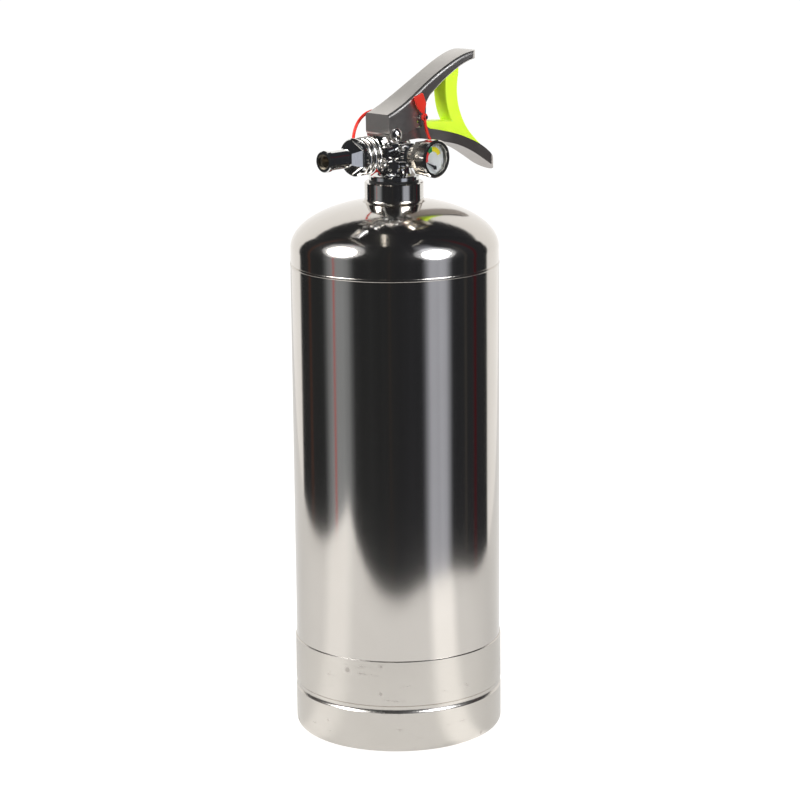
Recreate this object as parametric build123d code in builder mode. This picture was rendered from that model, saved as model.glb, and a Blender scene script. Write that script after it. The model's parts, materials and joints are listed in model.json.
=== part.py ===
from build123d import *
import math
import os

os.makedirs("parts", exist_ok=True)

# Portable stored-pressure fire extinguisher with a stainless steel body.
# Millimetres. +Z up, origin at the centre of the base. The levers lie in the XZ plane:
# the nozzle points along -X, the levers run out along +X and the gauge faces -Y.

# Body
body_r = 65.0
wall = 1.2
cup_r = 65.65
cup_h = 60.0
cup_corner_r = 5.0
groove_z = 28.6
groove_h = 5.0
groove_depth = 1.1
joggle_h = 6.0
tube_top = 300.0
dome_z = 310.0
dome_h = 30.0
dome_hole_r = 15.5
dish_rise = 14.0
dish_r = 57.5

# Neck
neck_r = 18.4
neck_bore_r = 14.7
neck_bottom = 335.5
neck_seat = 339.3
neck_top = 351.0
gasket_t = 1.0

# Valve body
flange_r = 15.8
flange_h = 3.2
valve_r = 10.6
stub_r = 14.6
nozzle_z = 369.4
gauge_z = 368.2
seat_z = 358.0
chamber_r = 6.5
stem_r = 2.4
stem_hole_r = 2.45
tower_front = -11.2
tower_back = 7.0
tower_half_w = 5.5
tower_top = 386.5

# Levers
pivot_x = -7.5
pivot_z = 381.5
rivet_r = 2.5
pivot_hole_r = 2.55
sheet_t = 1.5
lever_half_w = 10.25
handle_half_w = 8.5
ear_half_w = 7.2
pin_x = 13.7
pin_z = 390.4
pin_r = 1.1
pin_hole_r = 1.3
eye_r = 3.5
eye_y = 17.2
ring_r = 17.0
ring_wire_r = 1.0
insert_half_w = 5.35

# Nozzle and gauge
nozzle_r = 6.0
nozzle_tip = -60.0
collar_front = -35.5
coil_r = 10.3
coil_wire_r = 1.45
coil_pitch = 4.4
coil_turns = 2.3
gauge_r = 11.7
gauge_front = -37.3
gauge_back = -24.6


def save(piece, name):
    piece.label = name
    export_step(piece, "parts/" + name + ".step")


def axis_x(z):
    return Axis((0, 0, z), (1, 0, 0))


def axis_y(z):
    return Axis((0, 0, z), (0, 1, 0))


def cap_rise(half_width, rise):
    """Height of a spherical cap halfway between its centre and its rim."""
    sphere_r = (half_width**2 + rise**2) / (2 * rise)
    return math.sqrt(sphere_r**2 - (half_width / 2) ** 2) - (sphere_r - rise)


# ---------------------------------------------------------------- body shells
with BuildPart() as body_tube:
    with BuildSketch(Plane.XZ):
        with BuildLine():
            Polyline(
                (body_r, cup_h), (body_r, tube_top), (body_r - wall, tube_top),
                (body_r - wall, cup_h + 2.0), (cup_r - 2 * wall - 0.1, cup_h - 1.0),
                (cup_r - 2 * wall - 0.1, cup_h - joggle_h), (cup_r - wall - 0.1, cup_h - joggle_h),
                (cup_r - wall - 0.1, cup_h), close=True,
            )
        make_face()
    revolve(axis=Axis.Z)
save(body_tube.part, "body_tube")

dome_in_r = body_r - wall
dome_in_h = dome_h - wall


def dome_height(radius, a, b):
    return dome_z + b * math.sqrt(1.0 - (radius / a) ** 2)


with BuildPart() as top_dome:
    with BuildSketch(Plane.XZ):
        with BuildLine():
            hole_angle_out = math.degrees(math.acos(dome_hole_r / body_r))
            hole_angle_in = math.degrees(math.acos(dome_hole_r / dome_in_r))
            Line((body_r, tube_top), (body_r, dome_z))
            outer = EllipticalCenterArc((0, dome_z), body_r, dome_h, 0, arc_size=hole_angle_out)
            inner = EllipticalCenterArc((0, dome_z), dome_in_r, dome_in_h, 0, arc_size=hole_angle_in)
            Line(outer @ 1, inner @ 1)
            Line((dome_in_r, dome_z), (dome_in_r, tube_top))
            Line((dome_in_r, tube_top), (body_r, tube_top))
        make_face()
    revolve(axis=Axis.Z)
save(top_dome.part, "top_dome")

# Welds: a flat bead between tube and dome, and a fillet where the neck meets the dome.
with BuildPart() as dome_weld:
    with BuildSketch(Plane.XZ):
        with Locations((body_r + 0.05, tube_top)):
            Ellipse(0.22, 0.9)
        with Locations((body_r - 0.5, tube_top)):
            Rectangle(1.0, 2.0, mode=Mode.SUBTRACT)
    revolve(axis=Axis.Z)
save(dome_weld.part, "dome_weld")

with BuildPart() as base_cup:
    with BuildSketch(Plane.XZ):
        with BuildLine():
            groove_top = groove_z + groove_h / 2
            groove_bottom = groove_z - groove_h / 2
            Line((cup_r, cup_corner_r), (cup_r, groove_bottom))
            ThreePointArc((cup_r, groove_bottom), (cup_r - groove_depth, groove_z), (cup_r, groove_top))
            Line((cup_r, groove_top), (cup_r, cup_h - 0.5))
            Line((cup_r, cup_h - 0.5), (cup_r - 0.5, cup_h))
            Line((cup_r - 0.5, cup_h), (cup_r - wall, cup_h))
            Line((cup_r - wall, cup_h), (cup_r - wall, groove_top))
            ThreePointArc(
                (cup_r - wall, groove_top), (cup_r - wall - groove_depth, groove_z), (cup_r - wall, groove_bottom)
            )
            Line((cup_r - wall, groove_bottom), (cup_r - wall, cup_corner_r))
            inner_turn = (cup_corner_r - wall) * math.sqrt(0.5)
            ThreePointArc(
                (cup_r - wall, cup_corner_r), (cup_r - cup_corner_r + inner_turn, cup_corner_r - inner_turn),
                (cup_r - cup_corner_r, wall),
            )
            dish_mid = cap_rise(dish_r, dish_rise)
            Line((cup_r - cup_corner_r, wall), (dish_r, wall))
            ThreePointArc((dish_r, wall), (dish_r / 2, dish_mid + wall), (0, dish_rise + wall))
            Line((0, dish_rise + wall), (0, dish_rise))
            ThreePointArc((0, dish_rise), (dish_r / 2, dish_mid), (dish_r, 0))
            Line((dish_r, 0), (cup_r - cup_corner_r, 0))
            outer_turn = cup_corner_r * math.sqrt(0.5)
            ThreePointArc(
                (cup_r - cup_corner_r, 0), (cup_r - cup_corner_r + outer_turn, cup_corner_r - outer_turn),
                (cup_r, cup_corner_r),
            )
        make_face()
    revolve(axis=Axis.Z)
save(base_cup.part, "base_cup")

# ---------------------------------------------------------------- neck
with BuildPart() as neck_ring:
    with BuildSketch(Plane.XZ):
        with BuildLine():
            Polyline(
                (neck_bore_r, neck_bottom), (dome_hole_r - 0.1, neck_bottom), (dome_hole_r - 0.1, neck_seat),
                (neck_r - 0.9, neck_seat), (neck_r, neck_seat + 0.9), (neck_r, neck_top - 0.6),
                (neck_r - 0.6, neck_top), (neck_bore_r, neck_top), close=True,
            )
        make_face()
    revolve(axis=Axis.Z)
save(neck_ring.part, "neck_ring")

with BuildPart() as neck_weld:
    with BuildSketch(Plane.XZ):
        with BuildLine():
            weld_out = neck_r + 1.3
            weld_z = dome_height(weld_out, body_r, dome_h)
            weld_in_z = dome_height(neck_r, body_r, dome_h)
            Line((weld_out, weld_z + 0.02), (neck_r + 0.03, weld_in_z + 0.03))
            Line((neck_r + 0.03, weld_in_z + 0.03), (neck_r + 0.03, weld_in_z + 1.9))
            RadiusArc((neck_r + 0.03, weld_in_z + 1.9), (weld_out, weld_z + 0.02), -2.6)
        make_face()
    revolve(axis=Axis.Z)
save(neck_weld.part, "neck_weld")

with BuildPart() as neck_gasket:
    with BuildSketch(Plane.XY.offset(neck_top)):
        Circle(flange_r - 0.4)
        Circle(stub_r + 0.1, mode=Mode.SUBTRACT)
    extrude(amount=gasket_t)
save(neck_gasket.part, "neck_gasket")

# ---------------------------------------------------------------- valve body
flange_z = neck_top + gasket_t
shoulder_z = flange_z + flange_h
boss_end = -17.0
gauge_boss_end = -17.0

with BuildPart() as valve_body:
    with BuildSketch(Plane.XZ):
        with BuildLine():
            Line((0, neck_bottom), (stub_r, neck_bottom))
            Line((stub_r, neck_bottom), (stub_r, flange_z))
            Line((stub_r, flange_z), (flange_r - 0.5, flange_z))
            Line((flange_r - 0.5, flange_z), (flange_r, flange_z + 0.5))
            Line((flange_r, flange_z + 0.5), (flange_r, shoulder_z - 0.6))
            Line((flange_r, shoulder_z - 0.6), (flange_r - 0.6, shoulder_z))
            RadiusArc((flange_r - 0.6, shoulder_z), (valve_r, shoulder_z + 5.5), 6.0)
            Line((valve_r, shoulder_z + 5.5), (valve_r, 375.2))
            Line((valve_r, 375.2), (valve_r - 1.0, 376.4))
            Line((valve_r - 1.0, 376.4), (0, 376.4))
            Line((0, 376.4), (0, neck_bottom))
        make_face()
    revolve(axis=Axis.Z)
    # nozzle boss along -X: a round root, a hexagon and a threaded spigot
    with BuildSketch(Plane.XZ):
        with BuildLine():
            Polyline(
                (0, nozzle_z), (0, nozzle_z + 8.2), (-12.0, nozzle_z + 8.2), (-13.2, nozzle_z + 7.2),
                (boss_end, nozzle_z + 7.2), (boss_end, nozzle_z + 6.2), (-31.5, nozzle_z + 6.2),
                (-32.0, nozzle_z + 5.7), (-32.0, nozzle_z), close=True,
            )
        make_face()
    revolve(axis=axis_x(nozzle_z))
    with BuildSketch(Plane.YZ.offset(boss_end)):
        with Locations((0, nozzle_z)):
            RegularPolygon(radius=9.2, side_count=6, rotation=30)
    extrude(amount=4.0)
    # gauge boss along -Y
    with BuildSketch(Plane.YZ):
        with BuildLine():
            Polyline(
                (0, gauge_z), (0, gauge_z + 7.6), (gauge_boss_end + 0.8, gauge_z + 7.6),
                (gauge_boss_end, gauge_z + 6.8), (gauge_boss_end, gauge_z), close=True,
            )
        make_face()
    revolve(axis=axis_y(gauge_z))
    # tower for the stem and the lever pivot
    with BuildSketch(Plane.XY.offset(374.0)):
        with Locations(((tower_front + tower_back) / 2, 0)):
            RectangleRounded(tower_back - tower_front, 2 * tower_half_w, 1.2)
    extrude(amount=tower_top - 374.0)
    # inlet chamber, seat opening, outlet chamber and stem hole
    with Locations((0, 0, neck_bottom)):
        Cylinder(chamber_r, seat_z - neck_bottom, align=(Align.CENTER, Align.CENTER, Align.MIN), mode=Mode.SUBTRACT)
    with Locations((0, 0, neck_bottom)):
        Cylinder(10.2, 8.5, align=(Align.CENTER, Align.CENTER, Align.MIN), mode=Mode.SUBTRACT)
    with Locations((0, 0, seat_z)):
        Cylinder(4.2, 14.5, align=(Align.CENTER, Align.CENTER, Align.MIN), mode=Mode.SUBTRACT)
    with Locations((0, 0, seat_z + 10)):
        Cylinder(stem_hole_r, 30, align=(Align.CENTER, Align.CENTER, Align.MIN), mode=Mode.SUBTRACT)
    # pivot hole across the tower
    with BuildSketch(Plane.XZ.offset(-12)):
        with Locations((pivot_x, pivot_z)):
            Circle(pivot_hole_r)
    extrude(amount=24, mode=Mode.SUBTRACT)
    # outlet passage to the nozzle
    with BuildSketch(Plane.YZ.offset(-32.0)):
        with Locations((0, nozzle_z)):
            Circle(3.2)
    extrude(amount=32.0, mode=Mode.SUBTRACT)
    # gauge port: threaded socket, drilling and riser to the inlet side
    with BuildSketch(Plane.XZ.offset(-gauge_boss_end)):
        with Locations((0, gauge_z)):
            Circle(4.0)
    extrude(amount=-7.5, mode=Mode.SUBTRACT)
    with Locations((0, -10.2, neck_bottom + 9.5)):
        Cylinder(0.8, gauge_z - neck_bottom - 9.5, align=(Align.CENTER, Align.CENTER, Align.MIN), mode=Mode.SUBTRACT)
    # O-ring grooves round the stem
    for groove in (375.6, 380.2):
        with Locations((0, 0, groove)):
            Cylinder(3.7, 1.9, align=(Align.CENTER, Align.CENTER, Align.MIN), mode=Mode.SUBTRACT)
save(valve_body.part, "valve_body")

# ---------------------------------------------------------------- stem group
roof_contact_z = 395.0
plunger_t = 2.6
washer_t = 1.6
plunger_top = seat_z - washer_t - 0.05

with BuildPart() as valve_stem:
    with BuildSketch(Plane.XZ):
        with BuildLine():
            Line((0, plunger_top - plunger_t), (5.4, plunger_top - plunger_t))
            Line((5.4, plunger_top - plunger_t), (5.4, plunger_top))
            Line((5.4, plunger_top), (stem_r, plunger_top))
            Line((stem_r, plunger_top), (stem_r, roof_contact_z))
            RadiusArc((stem_r, roof_contact_z), (0, roof_contact_z + stem_r), -stem_r)
            Line((0, roof_contact_z + stem_r), (0, plunger_top - plunger_t))
        make_face()
    revolve(axis=Axis.Z)
save(valve_stem.part, "valve_stem")

with BuildPart() as seat_washer:
    with BuildSketch(Plane.XY.offset(plunger_top)):
        Circle(5.6)
        Circle(stem_r, mode=Mode.SUBTRACT)
    extrude(amount=washer_t)
save(seat_washer.part, "seat_washer")

with BuildPart() as stem_o_rings:
    for groove in (375.6, 380.2):
        with BuildSketch(Plane.XZ):
            with Locations((3.08, groove + 0.95)):
                Ellipse(0.58, 0.8)
        revolve(axis=Axis.Z)
save(stem_o_rings.part, "stem_o_rings")

# Spring carrier screwed into the foot of the valve; it holds the spring and the siphon tube.
carrier_top = neck_bottom + 8.0
with BuildPart() as spring_carrier:
    with BuildSketch(Plane.XZ):
        with BuildLine():
            Polyline(
                (2.6, neck_bottom - 6.0), (8.5, neck_bottom - 6.0), (9.0, neck_bottom - 5.5),
                (9.0, neck_bottom - 0.2), (10.1, neck_bottom), (10.1, carrier_top), (2.6, carrier_top), close=True,
            )
        make_face()
    revolve(axis=Axis.Z)
    with Locations((0, 0, neck_bottom - 6.0)):
        Cylinder(5.05, 9.0, align=(Align.CENTER, Align.CENTER, Align.MIN), mode=Mode.SUBTRACT)
save(spring_carrier.part, "spring_carrier")

spring_bottom = carrier_top + 0.05
spring_top = plunger_top - plunger_t - 0.05
spring_wire_r = 0.45
spring_r = 4.3
spring_turns = 4.5
spring_run = spring_top - spring_bottom - 2 * spring_wire_r
with BuildPart() as stem_spring:
    with BuildLine():
        spring_path = Helix(
            pitch=spring_run / spring_turns, height=spring_run, radius=spring_r,
            center=(0, 0, spring_bottom + spring_wire_r),
        )
    with BuildSketch(Plane(origin=spring_path @ 0, z_dir=spring_path % 0)):
        Circle(spring_wire_r)
    sweep(is_frenet=True)
save(stem_spring.part, "stem_spring")

# ---------------------------------------------------------------- siphon
siphon_bottom = 26.0
with BuildPart() as siphon_tube:
    with BuildSketch(Plane.XY.offset(siphon_bottom)):
        Circle(5.0)
        Circle(4.0, mode=Mode.SUBTRACT)
    extrude(amount=neck_bottom + 3.0 - siphon_bottom)
save(siphon_tube.part, "siphon_tube")

with BuildPart() as siphon_strainer:
    with BuildSketch(Plane.XY.offset(siphon_bottom - 6.0)):
        Circle(7.0)
    extrude(amount=14.0)
    with BuildSketch(Plane.XY.offset(siphon_bottom - 4.5)):
        Circle(5.05)
    extrude(amount=12.5, mode=Mode.SUBTRACT)
    with BuildSketch(Plane.XY.offset(siphon_bottom - 4.5)):
        with PolarLocations(6.0, 8):
            Rectangle(3.6, 1.4)
    extrude(amount=4.0, mode=Mode.SUBTRACT)
save(siphon_strainer.part, "siphon_strainer")


# ---------------------------------------------------------------- upper lever
def lever_plan(inset):
    """Plan outline of the upper lever: parallel at the valve, a slight waist, a round nose."""
    with BuildSketch(Plane.XY.offset(370.0)) as plan:
        with BuildLine():
            front = -14.2 + inset
            side = lever_half_w - inset
            upper = Spline(
                (-2.0, side), (10.0, side - 0.45), (26.0, side - 1.35), (44.0, side - 1.15), (60.0, side - 0.5),
                tangents=[(1, 0), (1, 0.06)],
            )
            nose = ThreePointArc(upper @ 1, (69.0 - inset, 0), (60.0, -(side - 0.5)))
            Line((front, side), (-2.0, side))
            Line((front, side), (front, -side))
            Line((front, -side), (-2.0, -side))
            Spline(
                (-2.0, -side), (10.0, -side + 0.45), (26.0, -side + 1.35), (44.0, -side + 1.15),
                (60.0, -side + 0.5), tangents=[(1, 0), (1, -0.06)],
            )
        make_face()
    return plan.sketch


def lever_roof(drop):
    """Points of the upper lever's top line, lowered along its normal by drop."""
    points = [(-13.9, 394.0), (0.0, 399.5), (19.5, 409.7), (38.4, 419.2), (52.0, 424.7), (63.5, 427.0), (69.5, 426.6)]
    slopes = [0.38, 0.44, 0.53, 0.47, 0.30, 0.08, -0.12]
    moved = []
    for (x, z), slope in zip(points, slopes):
        length = math.hypot(1.0, slope)
        moved.append((x + drop * slope / length, z - drop / length))
    return moved


lever_tail = [
    (69.5, 422.6), (65.7, 422.1), (61.0, 421.3), (48.6, 416.9), (40.6, 412.7), (32.6, 407.8), (26.9, 403.9),
]

with BuildPart() as upper_lever:
    with BuildSketch(Plane.XZ):
        with BuildLine():
            roof = Spline(*lever_roof(0))
            Line(roof @ 1, lever_tail[0])
            Polyline(*lever_tail[:2])
            belly = Spline(*lever_tail[1:])
            Polyline(
                lever_tail[-1], (21.2, 400.5), (19.6, 398.6), (19.3, 388.2), (18.2, 386.4), (14.6, 384.8),
                (-1.0, 381.0), (-11.0, 380.6), (-13.0, 381.2), (-13.7, 382.4), roof @ 0,
            )
        make_face()
        with Locations((pivot_x, pivot_z)):
            Circle(5.4)
    extrude(amount=12, both=True)
    add(extrude(lever_plan(0), amount=70, mode=Mode.PRIVATE), mode=Mode.INTERSECT)
    top_edges = upper_lever.edges().filter_by(
        lambda e: e.center().Z > 395 and abs(e.center().Y) > 8 and e.bounding_box().size.X > 20
        and e.center().Z > 409
    )
    fillet(top_edges, radius=1.9)
    with BuildSketch(Plane.XZ):
        with BuildLine():
            inner_roof = Spline(*lever_roof(sheet_t))
            Polyline(inner_roof @ 1, (70.0, 360.0), (-13.4, 360.0), inner_roof @ 0)
        make_face()
    cavity = extrude(amount=12, both=True, mode=Mode.PRIVATE)
    cavity = cavity & extrude(lever_plan(sheet_t), amount=70, mode=Mode.PRIVATE)
    add(cavity, mode=Mode.SUBTRACT)
    with BuildSketch(Plane.XZ.offset(-14)):
        with Locations((pivot_x, pivot_z)):
            Circle(pivot_hole_r)
        with Locations((pin_x, pin_z)):
            Circle(pin_hole_r)
        with Locations((12.2, 387.3)):
            Circle(1.2)
    extrude(amount=28, mode=Mode.SUBTRACT)
save(upper_lever.part, "upper_lever")


# ---------------------------------------------------------------- lower handle
def handle_plan(inset):
    """Plan outline of the lower handle: narrow round the valve, wider at the grip, rounded tip."""
    with BuildSketch(Plane.XY.offset(340.0)) as plan:
        with BuildLine():
            ear = ear_half_w - inset
            grip = handle_half_w - inset
            Line((-13.0, -ear), (-13.0, ear))
            Line((-13.0, ear), (20.0, ear))
            upper = Spline((20.0, ear), (44.0, grip), tangents=[(1, 0), (1, 0)])
            Line((44.0, grip), (79.0 - inset, grip))
            ThreePointArc((79.0 - inset, grip), (86.0 - inset, 0), (79.0 - inset, -grip))
            Line((79.0 - inset, -grip), (44.0, -grip))
            Spline((44.0, -grip), (20.0, -ear), tangents=[(-1, 0), (-1, 0)])
            Line((20.0, -ear), (-13.0, -ear))
        make_face()
    return plan.sketch


web_bottom = [(19.0, 375.9), (33.6, 372.9), (45.0, 370.3), (58.5, 365.2), (72.6, 357.4), (86.5, 348.8)]
web_top = [(19.0, 377.4), (33.9, 374.4), (45.4, 371.8), (59.1, 366.6), (73.3, 358.7), (87.3, 350.1)]
grip_edge = [(86.5, 352.4), (84.5, 354.9), (72.6, 365.3), (58.6, 372.2), (44.7, 377.0), (33.0, 380.0), (25.0, 381.5)]

with BuildPart() as lower_handle:
    with BuildSketch(Plane.XZ):
        with BuildLine():
            Polyline((-11.6, 376.5), (14.0, 376.5), web_bottom[0])
            Spline(*web_bottom, tangents=[(1, -0.16), (1, -0.62)])
            Line(web_bottom[-1], grip_edge[0])
            Spline(*grip_edge, tangents=[(-0.6, 0.8), (-1, 0.12)])
            Polyline(
                grip_edge[-1], (22.6, 383.0), (21.2, 386.4), (18.6, 386.8), (17.6, 385.8), (17.6, 383.4),
                (11.4, 383.4), (11.4, 387.6), (10.4, 388.6), (-4.0, 388.6), (-11.2, 385.2), (-12.1, 382.6),
                (-12.1, 377.0), (-11.6, 376.5),
            )
        make_face()
    extrude(amount=12, both=True)
    add(extrude(handle_plan(0), amount=70, mode=Mode.PRIVATE), mode=Mode.INTERSECT)
    with BuildSketch(Plane.XZ):
        with BuildLine():
            Polyline((-14.0, 378.0), (14.0, 378.0), web_top[0])
            Spline(*web_top, tangents=[(1, -0.16), (1, -0.62)])
            Polyline(web_top[-1], (88.0, 400.0), (-14.0, 400.0), (-14.0, 378.0))
        make_face()
    trough = extrude(amount=12, both=True, mode=Mode.PRIVATE)
    trough = trough & extrude(handle_plan(sheet_t), amount=70, mode=Mode.PRIVATE)
    add(trough, mode=Mode.SUBTRACT)
    # open front end and the window that the valve tower passes through
    with Locations((-13.0, 0, 378.0)):
        Box(4.0, 2 * (ear_half_w - sheet_t), 14.0, align=(Align.CENTER, Align.CENTER, Align.MIN), mode=Mode.SUBTRACT)
    with BuildSketch(Plane.XY.offset(370.0)):
        with Locations(((tower_front + tower_back) / 2 - 3.0, 0)):
            Rectangle(tower_back - tower_front + 6.4, 2 * tower_half_w + 0.2)
    extrude(amount=10, mode=Mode.SUBTRACT)
    with BuildSketch(Plane.XZ.offset(-14)):
        with Locations((pivot_x, pivot_z)):
            Circle(pivot_hole_r)
    extrude(amount=28, mode=Mode.SUBTRACT)
save(lower_handle.part, "lower_handle")

# ---------------------------------------------------------------- pivot
head_r = 4.0
head_h = 2.6
head_seat = lever_half_w + 0.15
with BuildPart() as pivot_rivet:
    with BuildSketch(Plane.YZ.offset(pivot_x)):
        with BuildLine():
            rim = head_seat + 0.5
            dome = rim + cap_rise(head_r, head_h - 0.5)
            Line((-head_seat - head_h, pivot_z), (head_seat + head_h, pivot_z))
            ThreePointArc((head_seat + head_h, pivot_z), (dome, pivot_z + head_r / 2), (rim, pivot_z + head_r))
            Polyline(
                (rim, pivot_z + head_r), (head_seat, pivot_z + head_r), (head_seat, pivot_z + rivet_r),
                (-head_seat, pivot_z + rivet_r), (-head_seat, pivot_z + head_r), (-rim, pivot_z + head_r),
            )
            ThreePointArc((-rim, pivot_z + head_r), (-dome, pivot_z + head_r / 2), (-head_seat - head_h, pivot_z))
        make_face()
    revolve(axis=Axis((pivot_x, 0, pivot_z), (0, 1, 0)))
save(pivot_rivet.part, "pivot_rivet")

washer_in = ear_half_w + 0.02
washer_out = lever_half_w - sheet_t - 0.12
with BuildPart() as pivot_washers:
    with BuildSketch(Plane.XZ.offset(-washer_out)):
        with Locations((pivot_x, pivot_z)):
            Circle(4.6)
            Circle(pivot_hole_r, mode=Mode.SUBTRACT)
    extrude(amount=washer_out - washer_in)
    mirror(about=Plane.XZ)
save(pivot_washers.part, "pivot_washers")

# ---------------------------------------------------------------- safety pin, ring and seal
lean = Vector(0.714, 0, 0.7)
eye_centre = Vector(pin_x, eye_y, pin_z) - lean * eye_r
ring_centre = eye_centre - lean * ring_r
pin_near = -15.5

with BuildPart() as safety_pin:
    with BuildSketch(Plane.XZ.offset(-pin_near)):
        with Locations((pin_x, pin_z)):
            Circle(pin_r)
    extrude(amount=-(eye_y - pin_near))
    with BuildSketch(Plane.XZ.offset(-eye_y)):
        with Locations((pin_x, pin_z)):
            Circle(pin_r - 0.1)
    revolve(axis=Axis(tuple(eye_centre), tuple(lean.cross(Vector(0, 1, 0)))))
save(safety_pin.part, "safety_pin")

with BuildPart() as pull_ring:
    with BuildSketch(Plane.XY.offset(ring_centre.Z)):
        with Locations((ring_centre.X + ring_r, ring_centre.Y)):
            Circle(ring_wire_r)
    revolve(axis=Axis(tuple(ring_centre), (0, 1, 0)))
save(pull_ring.part, "pull_ring")

tag_y = -12.6
strap_y = -13.9
tag_t = 1.1
strap_w = 1.5
with BuildPart() as seal_tag:
    with BuildSketch(Plane.XZ.offset(-tag_y)):
        with BuildLine():
            Polyline(
                (6.0, 403.4), (13.6, 405.4), (16.6, 398.4), (15.2, 394.6), (14.9, 392.6), (12.7, 392.6),
                (11.7, 393.4), (8.9, 396.2), (7.2, 399.6), close=True,
            )
        make_face()
        fillet(vertices().group_by(Axis.Y)[-1] + vertices().sort_by(Axis.X)[:1], radius=0.7)
    extrude(amount=-tag_t)
save(seal_tag.part, "seal_tag")

with BuildPart() as seal_strap:
    with BuildSketch(Plane.XZ.offset(-strap_y)):
        with BuildLine():
            Spline((pin_x + 0.2, pin_z - 1.0), (15.0, 383.5), (17.0, 378.4), (19.6, 374.2))
        trace(line_width=strap_w)
        with Locations((pin_x, pin_z)):
            Circle(2.4)
        with Locations((pin_x, pin_z)):
            Circle(pin_r + 0.15, mode=Mode.SUBTRACT)
    extrude(amount=-tag_t)
save(seal_strap.part, "seal_strap")

# ---------------------------------------------------------------- grip insert between the levers
insert_top = (418.1, 422.8)
with BuildPart() as grip_insert:
    with BuildSketch(Plane.XZ):
        with BuildLine():
            outer_bar = Spline(
                (52.9, 413.2), (51.6, 404.0), (52.6, 394.7), (55.5, 386.6), (60.4, 378.6), (66.8, 371.9), (75.0, 365.0),
            )
            Line((75.0, 365.0), (72.0, 360.6))
            foot = Spline((72.0, 360.6), (58.0, 368.2), (44.8, 373.2), (33.5, 375.9), (26.0, 377.4))
            Line((26.0, 377.4), (24.0, 381.6))
            Line((24.0, 381.6), (24.0, 386.0))
            Line((24.0, 386.0), (46.5, 384.2))
            window = Spline((46.5, 384.2), (43.3, 391.0), (41.4, 399.5), (41.3, 410.8))
            Polyline((41.3, 410.8), (41.3, insert_top[0]), (53.3, insert_top[1]), (52.9, 413.2))
        make_face()
    extrude(amount=insert_half_w, both=True)
save(grip_insert.part, "grip_insert")

# ---------------------------------------------------------------- nozzle
collar_r = 11.7
collar_t = 2.6
hex_start = -42.0
hex_small = 7.0
hex_large = 10.6
boss_spigot_r = 6.3

with BuildPart() as nozzle_tube:
    with BuildSketch(Plane.XZ):
        with BuildLine():
            tip_r = 6.7
            Polyline(
                (nozzle_tip, nozzle_z + 4.7), (nozzle_tip, nozzle_z + tip_r - 0.5), (nozzle_tip + 0.5, nozzle_z + tip_r),
                (nozzle_tip + 3.2, nozzle_z + tip_r), (nozzle_tip + 4.0, nozzle_z + nozzle_r),
                (collar_front + collar_t + 0.2, nozzle_z + nozzle_r),
                (collar_front + collar_t + 0.2, nozzle_z + 7.4),
                (-32.2, nozzle_z + 7.4), (-32.2, nozzle_z + 3.0),
                (nozzle_tip + 9.0, nozzle_z + 3.0), (nozzle_tip + 6.5, nozzle_z + 4.7), close=True,
            )
        make_face()
    revolve(axis=axis_x(nozzle_z))
save(nozzle_tube.part, "nozzle_tube")

with BuildPart() as nozzle_insert:
    with BuildSketch(Plane.XZ):
        with BuildLine():
            Polyline(
                (nozzle_tip + 1.6, nozzle_z + 3.3), (nozzle_tip + 1.6, nozzle_z + 4.65),
                (nozzle_tip + 6.4, nozzle_z + 4.65), (nozzle_tip + 8.6, nozzle_z + 3.0),
                (nozzle_tip + 8.6, nozzle_z + 1.1), (nozzle_tip + 6.2, nozzle_z + 1.1),
                (nozzle_tip + 3.4, nozzle_z + 2.5), close=True,
            )
        make_face()
    revolve(axis=axis_x(nozzle_z))
save(nozzle_insert.part, "nozzle_insert")

with BuildPart() as nozzle_collar:
    with BuildSketch(Plane.YZ.offset(hex_start)):
        with Locations((0, nozzle_z)):
            RegularPolygon(radius=hex_small, side_count=6, rotation=30)
    with BuildSketch(Plane.YZ.offset(collar_front + 0.5)):
        with Locations((0, nozzle_z)):
            RegularPolygon(radius=hex_large, side_count=6, rotation=30)
    loft()
    with BuildSketch(Plane.XZ):
        with BuildLine():
            Polyline(
                (collar_front, nozzle_z), (collar_front, nozzle_z + collar_r - 0.8),
                (collar_front + 0.8, nozzle_z + collar_r), (collar_front + collar_t - 0.5, nozzle_z + collar_r),
                (collar_front + collar_t, nozzle_z + collar_r - 0.5), (collar_front + collar_t, nozzle_z + 8.8),
                (-26.0, nozzle_z + 8.8), (-26.0, nozzle_z), close=True,
            )
        make_face()
    revolve(axis=axis_x(nozzle_z))
    with BuildSketch(Plane.YZ.offset(-50.0)):
        with Locations((0, nozzle_z)):
            Circle(nozzle_r + 0.02)
    extrude(amount=30.0, mode=Mode.SUBTRACT)
    with BuildSketch(Plane.YZ.offset(collar_front + collar_t + 0.1)):
        with Locations((0, nozzle_z)):
            Circle(7.5)
    extrude(amount=0.9, mode=Mode.SUBTRACT)
    with BuildSketch(Plane.YZ.offset(collar_front + collar_t + 1.0)):
        with Locations((0, nozzle_z)):
            Circle(boss_spigot_r)
    extrude(amount=12.0, mode=Mode.SUBTRACT)
save(nozzle_collar.part, "nozzle_collar")

# Wire coil wound round the boss behind the collar; its free end is curled into a small eye.
coil_start = collar_front + collar_t + coil_wire_r + 0.15
with BuildPart() as nozzle_coil:
    with BuildLine():
        coil_path = Helix(
            pitch=coil_pitch, height=coil_pitch * coil_turns, radius=coil_r,
            center=(coil_start, 0, nozzle_z), direction=(1, 0, 0),
        )
    with BuildSketch(Plane(origin=coil_path @ 0, z_dir=coil_path % 0)):
        Circle(coil_wire_r)
    sweep(is_frenet=True)
    eye_x = coil_start + coil_pitch * 2.25
    with BuildSketch(Plane.XY.offset(nozzle_z - 3.8)):
        with Locations((eye_x + 2.4, -coil_r - 1.4)):
            Circle(1.0)
    revolve(axis=Axis((eye_x, -coil_r - 1.4, nozzle_z - 3.8), (0, 1, 0)))
save(nozzle_coil.part, "nozzle_coil")

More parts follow.
